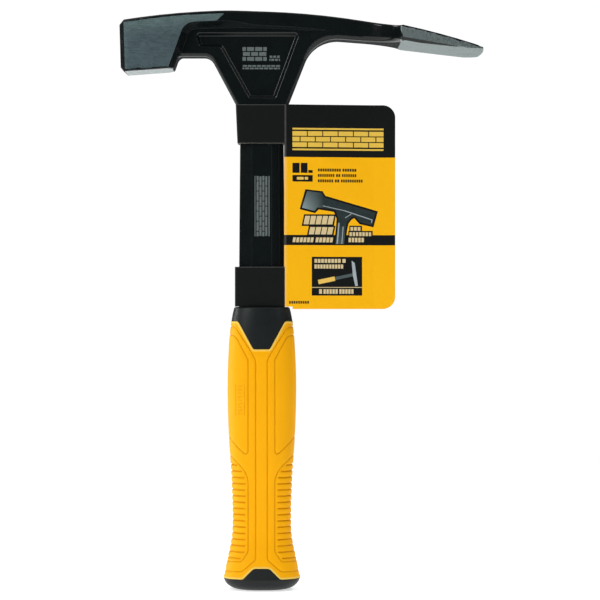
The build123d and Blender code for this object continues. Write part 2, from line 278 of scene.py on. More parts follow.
def paint_tone(s, mark):
    """Black paint, thin and lighter where it runs over edges, partly as wear and partly as a painted
    highlight, with the etched marks on it.
    """
    rounded = s.add("ShaderNodeBevel", {"Radius": 0.7 * MM}, samples=4).outputs[0]
    flat = s.add("ShaderNodeNewGeometry").outputs["Normal"]
    edge = s.fit(s.vector("DOT_PRODUCT", rounded, flat, output="Value"), 0.995, 0.93)
    # Lighter along the edges: worn paint and a painted highlight
    worn_and_edge_highlight = s.times(edge, s.fit(s.noise(0.5, 4, 0.6), 0.25, 0.6, 0.25, 1.0))
    paint = s.mix(s.noise(0.12, 4, 0.6), *PAINT)
    paint = s.mix(s.times(worn_and_edge_highlight, 0.5), paint, THIN_PAINT_AND_EDGE_HIGHLIGHT)
    return s.mix(mark, paint, s.mix(s.noise(3.0, 3, 0.7), *ETCHED))


def steel_tone(s, marks, side, drop, strike, under_poll):
    """Ground steel: a cloudy tone with pits and belt marks; painted reflections lighten the poll's sides
    towards its top and its face, and its underside, and a painted highlight lightens the blade's flat sides.
    """
    cloud = s.noise(0.09, 4, 0.55)
    # Painted reflection: the poll's sides lighter towards the top arc and towards the striking face
    reflection_by_the_rim = s.fit(drop, 11.0, 1.5, smooth=True)
    reflection_by_the_face = s.fit(s.x, -67.0, -71.5, 0.0, 0.6, smooth=True)
    poll = s.mix(cloud, *POLL_STEEL)
    poll = s.mix(s.times(s.most(reflection_by_the_rim, reflection_by_the_face), 0.8), poll, POLL_REFLECTION_STEEL)
    # Painted reflection of the floor: the poll's underside much lighter
    poll = s.mix(under_poll, poll, FLOOR_REFLECTION_STEEL)
    poll = s.mix(strike, poll, STRIKE_STEEL)
    blade = s.mix(cloud, *BLADE_STEEL)
    # Painted highlight: the blade's flat sides lighter than its other faces
    blade = s.mix(s.times(side, 0.7), blade, BLADE_SIDE_HIGHLIGHT_STEEL)
    steel = s.mix(s.above(s.x, MIDDLE_X, 0.5), poll, blade)
    pits = s.above(s.noise(1.0, 3, 0.7, s.scaled(1.9, 1.9, 1.1)), 0.56, 0.06)
    steel = s.mix(s.times(pits, s.fit(s.x, 70.0, 108.0, 0.25, 0.7)), steel, PITS)
    return s.mix(s.fit(marks, 0.35, 0.7, 0.0, 0.28), steel, BELT_MARKS)


def forging_finish():
    s = Shader("black_paint_and_ground_steel")
    depth = s.math("ABSOLUTE", s.y)
    facing = s.math("ABSOLUTE", s.ny)
    side = s.above(facing, 0.985, 0.01)
    drop = below_crown(s)
    wander = s.fit(s.noise(0.35, 3), 0.3, 0.7, -0.35, 0.35)  # the masking's uneven line

    poll_side = poll_side_region(s, side, depth, drop, wander)
    strike = s.times(s.below(s.x, STRIKE_X + 1.0, 0.2), s.below(s.nx, -0.96, 0.02))
    under_poll = s.times(
        s.below(s.nz, -0.97, 0.01), s.below(s.x, HEEL_X - 1.0, 0.3), s.below(s.z, POLL_FOOT, 0.5)
    )
    bare = s.most(poll_side, strike, under_poll, blade_region(s, facing, depth, drop, wander))

    mark = laser_marks(s, depth)
    paint_rough = s.blend(mark, s.fit(s.noise(0.4, 3), 0.3, 0.7, *PAINT_ROUGH), ETCHED_ROUGH)

    # Belt marks run along the poll and across the blade
    along_poll = s.noise(1.0, 3, 0.6, s.scaled(0.3, 3.2, 3.2))
    across_blade = s.noise(1.0, 3, 0.6, s.scaled(4.5, 0.15, 4.5))
    marks = s.blend(s.above(s.x, MIDDLE_X, 0.5), along_poll, across_blade)
    steel_rough = s.fit(marks, 0.3, 0.7, *STEEL_ROUGH)

    color = s.mix(bare, paint_tone(s, mark), steel_tone(s, marks, side, drop, strike, under_poll))
    rough = s.blend(bare, paint_rough, steel_rough)
    # The paint stands a little proud of the steel and has a faint orange peel
    relief = s.bump(s.minus(1.0, bare), PAINT_THICKNESS, 0.6)
    grain = s.blend(bare, s.times(s.noise(1.1, 2), 0.5), marks)
    normal = s.bump(grain, GRAIN_HEIGHT, 0.5, relief)
    return s.finish(color, rough, normal, bare, Specular_IOR_Level=0.3)


dress("steel_forging", forging_finish())


# ---------------------------------------------------------------- hard black mouldings
CORE_TONES = (0.0034, 0.0058, 0.0060), (0.0054, 0.0088, 0.0090)
CAP_TONES = (0.0060, 0.0084, 0.0092), (0.0092, 0.0120, 0.0130)
MOULDING_ROUGH = (0.40, 0.50)


def moulding_finish(name, tones):
    s = Shader(name)
    tone = s.mix(s.noise(0.15, 4, 0.6), *tones)
    grain = s.noise(4.5, 2, 0.5)
    rough = s.fit(s.noise(0.6, 3), 0.3, 0.7, *MOULDING_ROUGH)
    return s.finish(tone, rough, s.bump(grain, 0.02, 0.5), Specular_IOR_Level=0.28)


dress("grip_core", moulding_finish("hard_black_moulding", CORE_TONES))
dress("butt_cap", moulding_finish("hard_black_cap", CAP_TONES))


# ---------------------------------------------------------------- grip's outer shape
DEPTH_RATIO = 0.76
CORNER_POWER = 2.5
STATIONS = [  # height and half width
    (5.8, 19.8), (9.6, 19.1), (17.4, 17.6), (25.7, 15.9), (35.6, 15.3), (50.7, 15.6), (65.5, 16.3),
    (80.3, 17.2), (95.0, 17.7), (108.4, 17.8), (125.1, 17.2), (138.6, 15.9), (146.4, 14.3),
]


def cubic_spline(knots, values):
    """Natural cubic spline through the knots, as a function of an array."""
    step = np.diff(knots)
    slope = np.diff(values) / step
    count = len(knots)
    matrix, right = np.eye(count), np.zeros(count)
    for i in range(1, count - 1):
        matrix[i, i - 1 : i + 2] = step[i - 1], 2 * (step[i - 1] + step[i]), step[i]
        right[i] = 6 * (slope[i] - slope[i - 1])
    curve = np.linalg.solve(matrix, right)

    def at(z):
        i = np.clip(np.searchsorted(knots, z) - 1, 0, count - 2)
        above, below, h = knots[i + 1] - z, z - knots[i], step[i]
        cubic = (curve[i] * above**3 + curve[i + 1] * below**3) / (6 * h)
        from_low = (values[i] / h - curve[i] * h / 6) * above
        from_high = (values[i + 1] / h - curve[i + 1] * h / 6) * below
        return cubic + from_low + from_high

    return at


grip_half_width = cubic_spline(*np.array(STATIONS).T)

# One quarter of the section for a half width of 1, from the front's middle round to the side
TURN = np.linspace(0, math.pi / 2, 4001)
QUARTER_X = np.sin(TURN) ** (2 / CORNER_POWER)
QUARTER_Y = DEPTH_RATIO * np.cos(TURN) ** (2 / CORNER_POWER)
QUARTER_RUN = np.concatenate([[0], np.cumsum(np.hypot(np.diff(QUARTER_X), np.diff(QUARTER_Y)))])
QUARTER_LENGTH = QUARTER_RUN[-1]


def run_of(x, width):
    """Distance round the grip from the front's middle to a place at x, where the half width is given."""
    return width * np.interp(np.minimum(x / width, 1), QUARTER_X, QUARTER_RUN)


def section(run, width):
    """Place on the section and its outward direction, from the superellipse's gradient."""
    x = np.interp(run / width, QUARTER_RUN, QUARTER_X) * width
    y = np.interp(run / width, QUARTER_RUN, QUARTER_Y) * width
    depth = width * DEPTH_RATIO
    out_x = (x / width) ** (CORNER_POWER - 1) / width
    out_y = (y / depth) ** (CORNER_POWER - 1) / depth
    length = np.hypot(out_x, out_y)
    return x, y, out_x / length, out_y / length


# ---------------------------------------------------------------- grip sleeve
SIDE = 40.0  # beyond the side's edge in front view
V_LINE = [
    (0.0, 124.6), (4.0, 124.6), (4.55, 125.1), (11.75, 138.3), (12.5, 138.9), (13.2, 139.0), (SIDE, 139.0),
]
TONGUE_LINE = [(0.0, 11.7), (3.3, 11.7), (4.6, 11.2), (9.3, 6.5), (10.2, 6.1), (SIDE, 6.1)]
SPINE = [
    (SIDE, 136.2), (14.2, 136.0), (12.9, 134.9), (5.6, 123.6), (3.3, 119.4), (3.05, 118.4),
    (3.05, 17.0), (3.4, 15.9), (5.0, 14.6), (9.8, 10.4), (11.0, 10.0), (SIDE, 9.9),
]
UPPER_PANEL = [
    (SIDE, 131.9), (14.4, 131.6), (13.0, 130.4), (7.2, 119.6), (7.0, 118.9), (7.0, 72.2),
    (7.3, 71.2), (8.1, 70.7), (9.0, 71.0), (12.0, 73.6), (14.6, 76.4), (SIDE, 79.4),
]
LOWER_PANEL = [
    (SIDE, 69.6), (14.8, 68.2), (12.0, 65.6), (10.0, 63.4), (8.4, 61.0), (7.4, 58.6), (7.0, 56.4),
    (7.0, 21.0), (7.4, 19.6), (8.4, 18.2), (9.6, 16.4), (10.8, 15.2), (SIDE, 14.8),
]
SLITS = 16
SLIT_PITCH = 3.2
SLIT_TOP = 64.8
SLIT_INSET = 1.7  # from the lower panel's outline
PANEL_GROOVE = (0.48, 0.55)  # half width and depth
SLIT_GROOVE = (0.62, 0.75)

# The small strip of brick bond in low relief, on the front's left panel
STRIP_RAILS = (8.7, 13.3)
STRIP_FOOT, STRIP_TOP = 90.5, 106.6
STRIP_ROWS, STRIP_PITCH = 9, 1.8
ROW_ENDS = (9.9, 12.1)
ROW_JOINTS = (11.5, 10.6)  # in even rows and in odd rows
RAIL_GROOVE, ROW_GROOVE, JOINT_GROOVE = (0.32, 0.30), (0.32, 0.28), (0.28, 0.24)

SLEEVE_WALL = 2.55
LIP_HEIGHT = 0.24  # the lip beside the sleeve's rims, which carries a painted highlight, stands this proud
LIP_WIDTH, LIP_SLOPE = 0.55, 0.75
HIGHLIGHT_WIDTH, HIGHLIGHT_SLOPE = 0.75, 0.45  # how far from a rim the rubber is painted pale, as a highlight along the rim
RIM_RADIUS = 0.4
RIM_TUCK = 0.55  # the outermost rows lie this far in
SWELL, SWELL_REACH = 0.07, 1.1  # the rubber is drawn down a little beside each deep groove

# The mesh's columns: at constant x over the middle, then shares of the way round to the side
MIDDLE_COLUMNS = np.linspace(0, 9, 40)
SIDE_SHARES = np.linspace(0, 1, 56)[1:]
# Its rows are level between two heights, and follow the rims beyond them
LEVEL_FOOT, LEVEL_HEAD = 23.0, 116.0
SLIT_ROWS, SLIT_GAP_ROWS, CORNER_ROWS, STRIP_BRICK_ROWS, PLAIN_ROWS = 0.17, 0.42, 0.27, 0.26, 1.1
BY_RIM = np.array([0, 0.05, 0.12, 0.2, 0.3, 0.42, 0.55])  # close rows, which take the rolled rim
INNER_ROWS = 14


def smooth(value):
    value = np.clip(value, 0, 1)
    return value * value * (3 - 2 * value)


def dense(points, step=1.0):
    """Front-view points to (run, height), close enough together to follow the surface."""
    made = []
    for (x0, z0), (x1, z1) in zip(points, points[1:]):
        count = max(1, math.ceil(math.hypot(x1 - x0, z1 - z0) / step))
        for i in range(count):
            t = i / count
            made.append((x0 + (x1 - x0) * t, z0 + (z1 - z0) * t))
    made.append(points[-1])
    x, z = np.array(made).T
    return np.column_stack([run_of(x, grip_half_width(z)), z])


def to_side(points):
    """Points at SIDE are put on the side's middle line."""
    return [(float(grip_half_width(z)) - 1e-4 if x >= SIDE else x, z) for x, z in points]


def panel_grooves():
    """The outlines and the slits, each as points, half width and depth."""
    grooves = [(dense(to_side(outline)), *PANEL_GROOVE) for outline in (SPINE, UPPER_PANEL, LOWER_PANEL)]
    outline_x, outline_z = np.array(LOWER_PANEL[-3:0:-1]).T
    for k in range(SLITS):
        z = SLIT_TOP - SLIT_PITCH * k
        start = float(np.interp(z, outline_z, outline_x)) + SLIT_INSET
        grooves.append((dense(to_side([(start, z), (SIDE, z)])), *SLIT_GROOVE))
    return grooves


def strip_grooves():
    """The mortar lines of the small strip of brick bond."""
    grooves = [(dense([(x, STRIP_FOOT), (x, STRIP_TOP)]), *RAIL_GROOVE) for x in STRIP_RAILS]
    for k in range(STRIP_ROWS):
        z = STRIP_FOOT + 0.9 + STRIP_PITCH * k
        grooves.append((dense([(x, z) for x in ROW_ENDS]), *ROW_GROOVE))
        if k < STRIP_ROWS - 1:
            x = ROW_JOINTS[k % 2]
            grooves.append((dense([(x, z), (x, z + STRIP_PITCH)]), *JOINT_GROOVE))
    return grooves


def distance_to(points, run, height, reach=3.0):
    """Distance from each place to a chain of points, for places within reach of it."""
    best = np.full(run.shape, 1e9)
    for (r0, z0), (r1, z1) in zip(points, points[1:]):
        dr, dz = r1 - r0, z1 - z0
        near_run = (run > min(r0, r1) - reach) & (run < max(r0, r1) + reach)
        near = near_run & (height > min(z0, z1) - reach) & (height < max(z0, z1) + reach)
        if not near.any():
            continue
        along = ((run[near] - r0) * dr + (height[near] - z0) * dz) / max(dr * dr + dz * dz, 1e-12)
        along = np.clip(along, 0, 1)
        d = np.hypot(run[near] - r0 - along * dr, height[near] - z0 - along * dz)
        best[near] = np.minimum(best[near], d)
    return best


def column_runs(width):
    """Distance round the grip of each vertex, from the half width at the vertex's own height."""
    count = len(MIDDLE_COLUMNS)
    middle, outer = width[..., :count], width[..., count:]
    start = run_of(MIDDLE_COLUMNS, middle)
    last = run_of(MIDDLE_COLUMNS[-1], outer)
    side = last + (QUARTER_LENGTH * outer - last) * SIDE_SHARES
    return np.concatenate([start, side], axis=-1)


def rim_heights(line, guess):
    """Height of a rim's front-view outline at each column, found by repeated substitution."""
    xs, zs = np.array(line).T
    z = np.full(len(MIDDLE_COLUMNS) + len(SIDE_SHARES), guess)
    for _ in range(30):
        width = grip_half_width(z)
        x = np.interp(column_runs(width) / width, QUARTER_RUN, QUARTER_X) * width
        z = np.interp(x, xs, zs)
    return z


def row_step(z):
    """Height from one level row to the next: least across the slits and the fine outlines."""
    if z < SLIT_TOP + 1.7:
        offset = (z - SLIT_TOP) % SLIT_PITCH
        return SLIT_ROWS if min(offset, SLIT_PITCH - offset) < SLIT_GROOVE[1] else SLIT_GAP_ROWS
    if z < UPPER_PANEL[-1][1] + 1.6:
        return CORNER_ROWS
    if STRIP_FOOT - 1.0 < z < STRIP_TOP + 0.9:
        return STRIP_BRICK_ROWS
    return PLAIN_ROWS


def sleeve_heights():
    """Heights of every vertex of a quarter: level rows in the middle, rows that follow each rim."""
    level = [LEVEL_FOOT]
    while level[-1] + row_step(level[-1]) < LEVEL_HEAD:
        level.append(level[-1] + row_step(level[-1]))
    foot_span, head_span = 16.9, 23.0
    foot = np.concatenate([BY_RIM[:-1], np.linspace(0.58, foot_span, 62)]) / foot_span
    head = np.concatenate([np.linspace(0, head_span - 0.7, 74), head_span - BY_RIM[::-1]]) / head_span
    foot_top, head_foot = level[0] - 0.3, level[-1] + 0.3

    bottom, top = rim_heights(TONGUE_LINE, 8.0), rim_heights(V_LINE, 130.0)
    rows = [bottom + (foot_top - bottom) * share for share in foot]
    rows += [np.full(top.shape, z) for z in level]
    rows += [head_foot + (top - head_foot) * share for share in head]
    return np.array(rows)


def groove_relief(grooves, height, run):
    """Height of the surface over the plain grip, and the share of a groove's depth at each vertex, which
    sets the painted shade in the grooves.
    """
    offset = np.zeros_like(height)
    share = np.zeros_like(height)
    for points, half, depth in grooves:
        d = distance_to(points, run, height)
        cut = depth * (0.5 + 0.5 * np.cos(math.pi * np.clip(d / half, 0, 1)))
        offset = np.minimum(offset, -cut)
        share = np.maximum(share, cut / PANEL_GROOVE[1])
        if depth >= PANEL_GROOVE[1]:
            offset -= SWELL * np.exp(-((d / SWELL_REACH) ** 2)) * (1 - np.clip(cut / depth, 0, 1))
    return offset, np.clip(share, 0, 1)


def rim_distance(line, height, run):
    return distance_to(dense(to_side(line), 0.5), run, height)


def around(quarters):
    """Four quarters' columns as one ring: front right, back right, back left, front left."""
    front_right, back_right, back_left, front_left = quarters
    parts = [front_right[:, :-1], back_right[:, :0:-1], back_left[:, :-1], front_left[:, :0:-1]]
    return np.concatenate(parts, axis=1)


def ring_places(height, shape, offsets):
    """Places round the whole grip, each quarter moved outwards by its own offset."""
    x, y, out_x, out_y = shape
    signs = ((1, -1), (1, 1), (-1, 1), (-1, -1))
    ring_x = around([sign * (x + out_x * offset) for (sign, _), offset in zip(signs, offsets)])
    ring_y = around([sign * (y + out_y * offset) for (_, sign), offset in zip(signs, offsets)])
    return np.stack([ring_x, ring_y, around([height] * 4)], axis=-1)


def tube_faces(rows, inner_rows, columns):
    """Quads of the outer wall, the inner wall and the two rims between them."""
    here = np.arange(columns)
    after = np.roll(here, -1)
    outer = [row * columns for row in range(rows)]
    inner = [(rows + row) * columns for row in range(inner_rows)]
    pairs = list(zip(outer, outer[1:])) + list(zip(inner[1:], inner))
    pairs += [(inner[0], outer[0]), (outer[-1], inner[-1])]
    return np.concatenate([np.column_stack([a + here, a + after, b + after, b + here]) for a, b in pairs])


def quad_mesh(name, vertices, faces):
    mesh = bpy.data.meshes.new(name)
    mesh.vertices.add(len(vertices))
    mesh.vertices.foreach_set("co", vertices.ravel())
    mesh.loops.add(faces.size)
    mesh.loops.foreach_set("vertex_index", faces.ravel().astype(np.int32))
    mesh.polygons.add(len(faces))
    mesh.polygons.foreach_set("loop_start", np.arange(0, faces.size, 4, dtype=np.int32))
    mesh.update(calc_edges=True)
    mesh.validate()
    return mesh


def build_sleeve():
    height = sleeve_heights()
    width = grip_half_width(height)
    run = column_runs(width)
    to_rim = np.minimum(rim_distance(V_LINE, height, run), rim_distance(TONGUE_LINE, height, run))
    lip = LIP_HEIGHT * (1 - smooth((to_rim - LIP_WIDTH) / LIP_SLOPE))
    inwards = np.clip(RIM_RADIUS**2 - (RIM_RADIUS - to_rim) ** 2, 0, None)
    roll = np.where(to_rim < RIM_RADIUS, np.sqrt(inwards) - RIM_RADIUS, 0.0)
    roll[[0, -1], :] = -RIM_TUCK
    # Painted highlight beside the rims
    rim_highlight = 1 - smooth((to_rim - HIGHLIGHT_WIDTH) / HIGHLIGHT_SLOPE)

    plain, plain_groove_shade = groove_relief(panel_grooves(), height, run)
    marked, marked_groove_shade = groove_relief(panel_grooves() + strip_grooves(), height, run)
    shape = section(run, width)
    outer = ring_places(height, shape, [relief + lip + roll for relief in (plain, plain, plain, marked)])
    # The inner wall needs few rows
    inner_at = np.linspace(0, len(height) - 1, INNER_ROWS).round().astype(int)
    inner = ring_places(height[inner_at], [part[inner_at] for part in shape], [-SLEEVE_WALL] * 4)

    vertices = np.concatenate([outer.reshape(-1, 3), inner.reshape(-1, 3)]) * MM
    mesh = quad_mesh("grip_sleeve_moulding", vertices, tube_faces(len(outer), len(inner), outer.shape[1]))
    # Each vertex's share of a groove's depth, for the painted shade in the grooves
    groove_shade = around([plain_groove_shade] * 3 + [marked_groove_shade])
    # The second attribute carries the painted highlight beside the rims
    for name, values in (("groove_shade", groove_shade), ("lip", around([rim_highlight] * 4))):
        data = np.zeros(len(vertices), np.float32)
        data[: values.size] = values.ravel()
        mesh.attributes.new(name, "FLOAT", "POINT").data.foreach_set("value", data)
    mesh.shade_smooth()
    mesh.set_sharp_from_angle(angle=math.radians(60))
    sleeve = bpy.data.objects.new("grip_sleeve_moulding", mesh)
    scene.collection.objects.link(sleeve)
    return sleeve


RUBBER = (0.93, 0.410, 0.0010), (0.98, 0.455, 0.0015)
# The next tone is a painted highlight beside the rims
RUBBER_RIM_HIGHLIGHT = (0.88, 0.60, 0.11)
# The next tone is painted shade in the grooves
RUBBER_GROOVE_SHADE = (0.70, 0.325, 0.0005)
RUBBER_ROUGH = (0.46, 0.56)


def rubber_finish():
    s = Shader("yellow_soft_overmould")
    groove_shade = s.add("ShaderNodeAttribute", attribute_name="groove_shade").outputs["Fac"]
    lip = s.add("ShaderNodeAttribute", attribute_name="lip").outputs["Fac"]
    tone = s.mix(s.noise(0.06, 4, 0.6), *RUBBER)
    # Painted highlight: the rubber paler beside its rims
    tone = s.mix(s.times(lip, 0.9), tone, RUBBER_RIM_HIGHLIGHT)
    # Painted shade: the grooves darker the deeper they are
    tone = s.mix(s.times(groove_shade, 0.85), tone, RUBBER_GROOVE_SHADE)
    grain = s.noise(3.2, 3, 0.6)
    rough = s.fit(s.noise(0.5, 3), 0.3, 0.7, *RUBBER_ROUGH)
    return s.finish(tone, rough, s.bump(grain, 0.025, 0.5), Specular_IOR_Level=0.10)


sleeve = build_sleeve()
sleeve.data.materials.append(rubber_finish())
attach(sleeve, "root")
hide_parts("grip_sleeve")


# ---------------------------------------------------------------- retail card
GAUGE = 0.45
CARD_TOP, CARD_BOTTOM, CARD_RIGHT, CARD_LEFT = 251.2, 145.3, 69.3, -13.9
CARD_CORNER = 6.5
LEAF_START, GLUE_START = 12.0, 58.0
WINDOW_RIGHT = 11.6
UPPER_BAND, LOWER_BAND, BAND_FOOT, NOTCH_X = 231.0, 167.2, 146.6, 16.0
SNUG_LEFT, NECK_FLARE = -12.6, 0.9  # the upper band's left edge at its foot, and how far its top leans out
CARD_HALF = 7.45
FOLD_RADIUS = 1.2
FOLD_STEPS = 6
FOLD_ARC = FOLD_RADIUS * math.pi / 2
STRAIGHT_LEFT = CARD_LEFT + FOLD_RADIUS  # the front's flat part ends here
WALL = 2 * (CARD_HALF - FOLD_RADIUS)
WALL_MIDDLE = STRAIGHT_LEFT - FOLD_ARC - WALL / 2
LEAF_BOW, LEAF_RIPPLE = 0.35, 0.12
LEAF_EASE = 30.0  # the bow grows from nothing over this distance
BOW_HEIGHT, BOW_WAVES, BOW_START = 106.0, 1.3, 0.4
RIPPLE_X, RIPPLE_Z = 9, 17
BOARD_STEP = 4.0  # between the loose points that let the leaves bow


def back_of(x):
    """Where a place at x on the back lies on the flat card, which runs on leftwards from the front."""
    return 2 * WALL_MIDDLE - x


def fold_line():
    """Stations (u, x, y, outward x, outward y) of the outer face; u is x on the front, then on round."""
    half = math.tan(math.atan2(CARD_HALF - GAUGE, GLUE_START - LEAF_START) / 2)
    front = [
        (CARD_RIGHT, CARD_RIGHT, -GAUGE, 0, -1),
        (GLUE_START, GLUE_START, -GAUGE, half, -1),
        (LEAF_START, LEAF_START, -CARD_HALF, half, -1),
        (STRAIGHT_LEFT, STRAIGHT_LEFT, -CARD_HALF, 0, -1),
    ]
    for i in range(1, FOLD_STEPS + 1):
        share = i / FOLD_STEPS
        across, back = math.sin(math.pi / 2 * share), math.cos(math.pi / 2 * share)
        x = STRAIGHT_LEFT - FOLD_RADIUS * across
        y = -CARD_HALF + FOLD_RADIUS * (1 - back)
        front.append((STRAIGHT_LEFT - FOLD_ARC * share, x, y, -across, -back))
    rear = [(back_of(u), x, -y, out_x, -out_y) for u, x, y, out_x, out_y in front]
    return np.array(sorted(front + rear))


FOLD = fold_line()


# The print: shapes are pairs of an ink and an outline, and later ones are printed over earlier ones
INKS = ["board", "yellow", "black", "gold", "steel_grey", "steel_light", "cream", "amber"]
HEAD_FOOT = 224.0  # foot of the card's black head
WRAP_LEFT, BACK_LEFT = -40.0, -12.0  # the front's black runs on round the bands, to meet the back's
LETTER_GAP, LABEL_GAP = 0.32, 0.42


def bar(ink, left, top, right, foot):
    return ink, [(left, foot), (right, foot), (right, top), (left, top)]


def stroke(ink, a, b, half):
    """A straight line of the given half width."""
    dx, dz = b[0] - a[0], b[1] - a[1]
    length = math.hypot(dx, dz)
    ox, oz = -dz / length * half, dx / length * half
    there = [(a[0] - ox, a[1] - oz), (b[0] - ox, b[1] - oz)]
    back_again = [(b[0] + ox, b[1] + oz), (a[0] + ox, a[1] + oz)]
    return ink, there + back_again


def words(ink, left, top, right, foot, lengths, gap, joint=None, lean=0.0):
    """Plain blocks in a row, in place of a line of words; with a joint, each is cut into short ones."""
    room = right - left - gap * (len(lengths) - 1)
    made, x = [], left
    for length in lengths:
        width = room * length / sum(lengths)
        count = length if joint else 1
        pitch = (width + (joint or 0)) / count
        for i in range(count):
            start, end = x + i * pitch, x + (i + 1) * pitch - (joint or 0)
            made.append((ink, [(start, foot), (end, foot), (end + lean, top), (start + lean, top)]))
        x += width + gap
    return made


def grounds(left):
    """The yellow card, its black head and the black lower band, as far left as given."""
    return [
        bar("yellow", WINDOW_RIGHT, CARD_TOP, CARD_RIGHT, CARD_BOTTOM),
        bar("black", left, CARD_TOP, CARD_RIGHT, HEAD_FOOT),
        bar("black", left, LOWER_BAND, LEAF_START, BAND_FOOT),
    ]


def brick_header(left, right, count):
    """Three courses of plain bricks between two rules, in place of a name."""
    shapes = [bar("gold", left, top, right, top - 0.9) for top in (239.1, 228.4)]
    for course in range(3):
        top = 237.4 - 2.9 * course
        lengths = (1, *[2] * (count - 1), 1) if course % 2 else (2,) * count
        shapes += words("gold", left, top, right, top - 2.4, lengths, 0.5)
    return shapes


def weight_block():
    """Plain blocks in place of the weight, and three lines beside them."""
    shapes = [
        bar("black", 15.9, 221.0, 19.6, 215.8),
        bar("black", 20.2, 221.0, 23.7, 215.8),
        bar("black", 24.1, 217.3, 26.4, 215.8),
        bar("black", 15.9, 214.7, 26.4, 211.3),
    ]
    shapes += words("amber", 18.2, 213.7, 24.0, 212.3, (2, 1), 0.55)
    for line, (right, lengths) in enumerate(((49.0, (10, 6)), (49.0, (8, 2, 7)), (52.3, (7, 2, 10)))):
        top = 218.1 - 2.8 * line
        shapes += words("black", 29.1, top, right, top - 1.5, lengths, 0.9, LETTER_GAP)
    return shapes


def pictured_hammer():
    """A plain hammer in two greys on black, over the black band."""
    backing = [
        (22.6, 207.4), (31.5, 206.4), (33.0, 204.0), (60.3, 196.1), (58.0, 187.8), (50.7, 189.4),
        (48.0, 192.5), (46.4, 191.6), (45.0, 189.6), (44.2, 186.0), (43.4, 178.4), (37.4, 178.4),
        (38.4, 187.0), (38.8, 192.0), (37.4, 195.7), (29.4, 196.9), (27.6, 195.0), (19.6, 197.0),
    ]
    figure = [
        (23.5, 206.5), (30.9, 205.6), (32.5, 203.1), (59.1, 195.4), (57.2, 188.9), (51.2, 190.3),
        (48.6, 193.3), (46.6, 193.2), (44.2, 190.4), (43.4, 186.5), (42.6, 179.0), (38.2, 179.0),
        (39.1, 186.5), (39.6, 192.3), (38.2, 196.7), (29.0, 198.0), (27.2, 196.1), (20.8, 197.8),
    ]
    label_grounds = [
        ("black", [(20.6, 188.3), (37.4, 188.3), (38.4, 194.4), (21.9, 194.4)]),
        ("black", [(23.4, 183.4), (37.2, 183.4), (38.2, 188.5), (24.4, 188.5)]),
        bar("black", 45.4, 188.6, 52.0, 185.7),
        bar("black", 44.9, 185.9, 57.6, 183.4),
    ]
    lit_edges = [
        stroke("steel_light", (31.6, 198.8), (43.0, 196.3), 0.16),
        stroke("steel_light", (43.0, 196.3), (57.3, 191.6), 0.22),
        stroke("steel_light", (57.3, 191.9), (56.9, 190.0), 0.22),
        stroke("steel_light", (40.0, 190.0), (39.1, 179.2), 0.32),
        stroke("steel_light", (42.2, 188.0), (41.5, 179.2), 0.2),
        stroke("steel_light", (43.2, 192.6), (46.4, 194.6), 0.16),
    ]
    return [("black", backing), *label_grounds, ("steel_grey", figure), *lit_edges]


def labels():
    """Blocks in place of the words on both sides of the pictured shaft."""
    shapes = words("cream", 21.6, 193.6, 36.6, 189.2, (5,), 0.5, 0.5, 0.9)
    shapes += words("cream", 24.3, 187.8, 36.4, 184.0, (4,), 0.5, 0.5, 0.8)
    shapes += words("cream", 15.9, 182.4, 36.6, 179.9, (6, 5), 1.2, LABEL_GAP, 0.4)
    shapes += words("cream", 46.0, 187.9, 51.2, 186.0, (3,), 0.5, LABEL_GAP)
    shapes += words("cream", 45.5, 185.2, 56.8, 183.2, (7,), 0.5, LABEL_GAP)
    shapes += words("cream", 45.0, 182.3, 53.0, 180.0, (5,), 0.5, LABEL_GAP)
    return shapes


def small_box():
    """A black box with a plain hammer and blocks in place of its words."""
    left, right, gap = 25.9, 52.1, 0.36
    shapes = [bar("black", left, 172.4, right, 152.3)]
    shapes += words("cream", 27.3, 171.3, 43.5, 169.3, (8, 1), 0.9, gap)
    shapes += words("cream", 27.3, 168.4, 42.2, 166.3, (10,), 0.6, gap)
    shapes.append(stroke("steel_grey", (37.4, 161.0), (48.2, 163.3), 0.8))
    shapes.append(stroke("amber", (29.3, 159.3), (37.9, 161.1), 1.15))
    head = [(46.6, 170.4), (48.2, 169.2), (49.9, 157.4), (48.5, 157.2), (47.2, 163.0)]
    shapes.append(("steel_light", head))
    shapes.append(bar("cream", left, 156.7, right, 156.35))
    shapes += words("cream", 29.7, 155.6, 47.6, 153.2, (1, 5, 5), 0.8, gap)
    return shapes


def front_print():
    shapes = grounds(WRAP_LEFT) + brick_header(15.9, 63.2, 6) + weight_block()
    shapes.append(bar("black", WINDOW_RIGHT, 183.7, CARD_RIGHT, 178.4))
    shapes += pictured_hammer() + labels() + small_box()
    return shapes + words("black", 14.2, 149.5, 24.4, 148.1, (9,), 0.4, 0.34)


def stripe_block():
    """A pale block of plain stripes."""
    shapes = [bar("cream", 24.0, 174.0, 58.0, 155.0)]
    x = 26.5
    for i in range(26):
        width = (0.45, 0.9, 0.45, 1.3, 0.6)[(i * 7 + i // 3) % 5]
        if x + width > 55.6:
            break
        shapes.append(bar("black", x, 172.4, x + width, 157.0))
        x += width + (0.5, 0.8, 0.45)[i % 3]
    return shapes


def back_print():
    """A guess, in the front's colours. Its x runs from the fold, as on the front."""
    shapes = grounds(BACK_LEFT) + brick_header(17.0, 62.0, 5)
    lines = ((4, 2, 5, 3), (3, 5, 2, 4), (5, 3, 4), (2, 4, 3, 5), (4, 4, 2))
    for block, block_top in enumerate((219.5, 203.0)):
        for i, lengths in enumerate(lines[block : block + 4]):
            top, right = block_top - 3.1 * i, 62.0 - 5 * (i % 2)
            shapes += words("black", 18.0, top, right, top - 1.4, lengths, 0.9, LETTER_GAP)
    shapes.append(bar("black", WINDOW_RIGHT, 187.0, CARD_RIGHT, 181.7))
    shapes += words("cream", 18.0, 185.6, 52.0, 183.2, (6, 9, 5), 1.2, LABEL_GAP)
    return shapes + stripe_block()


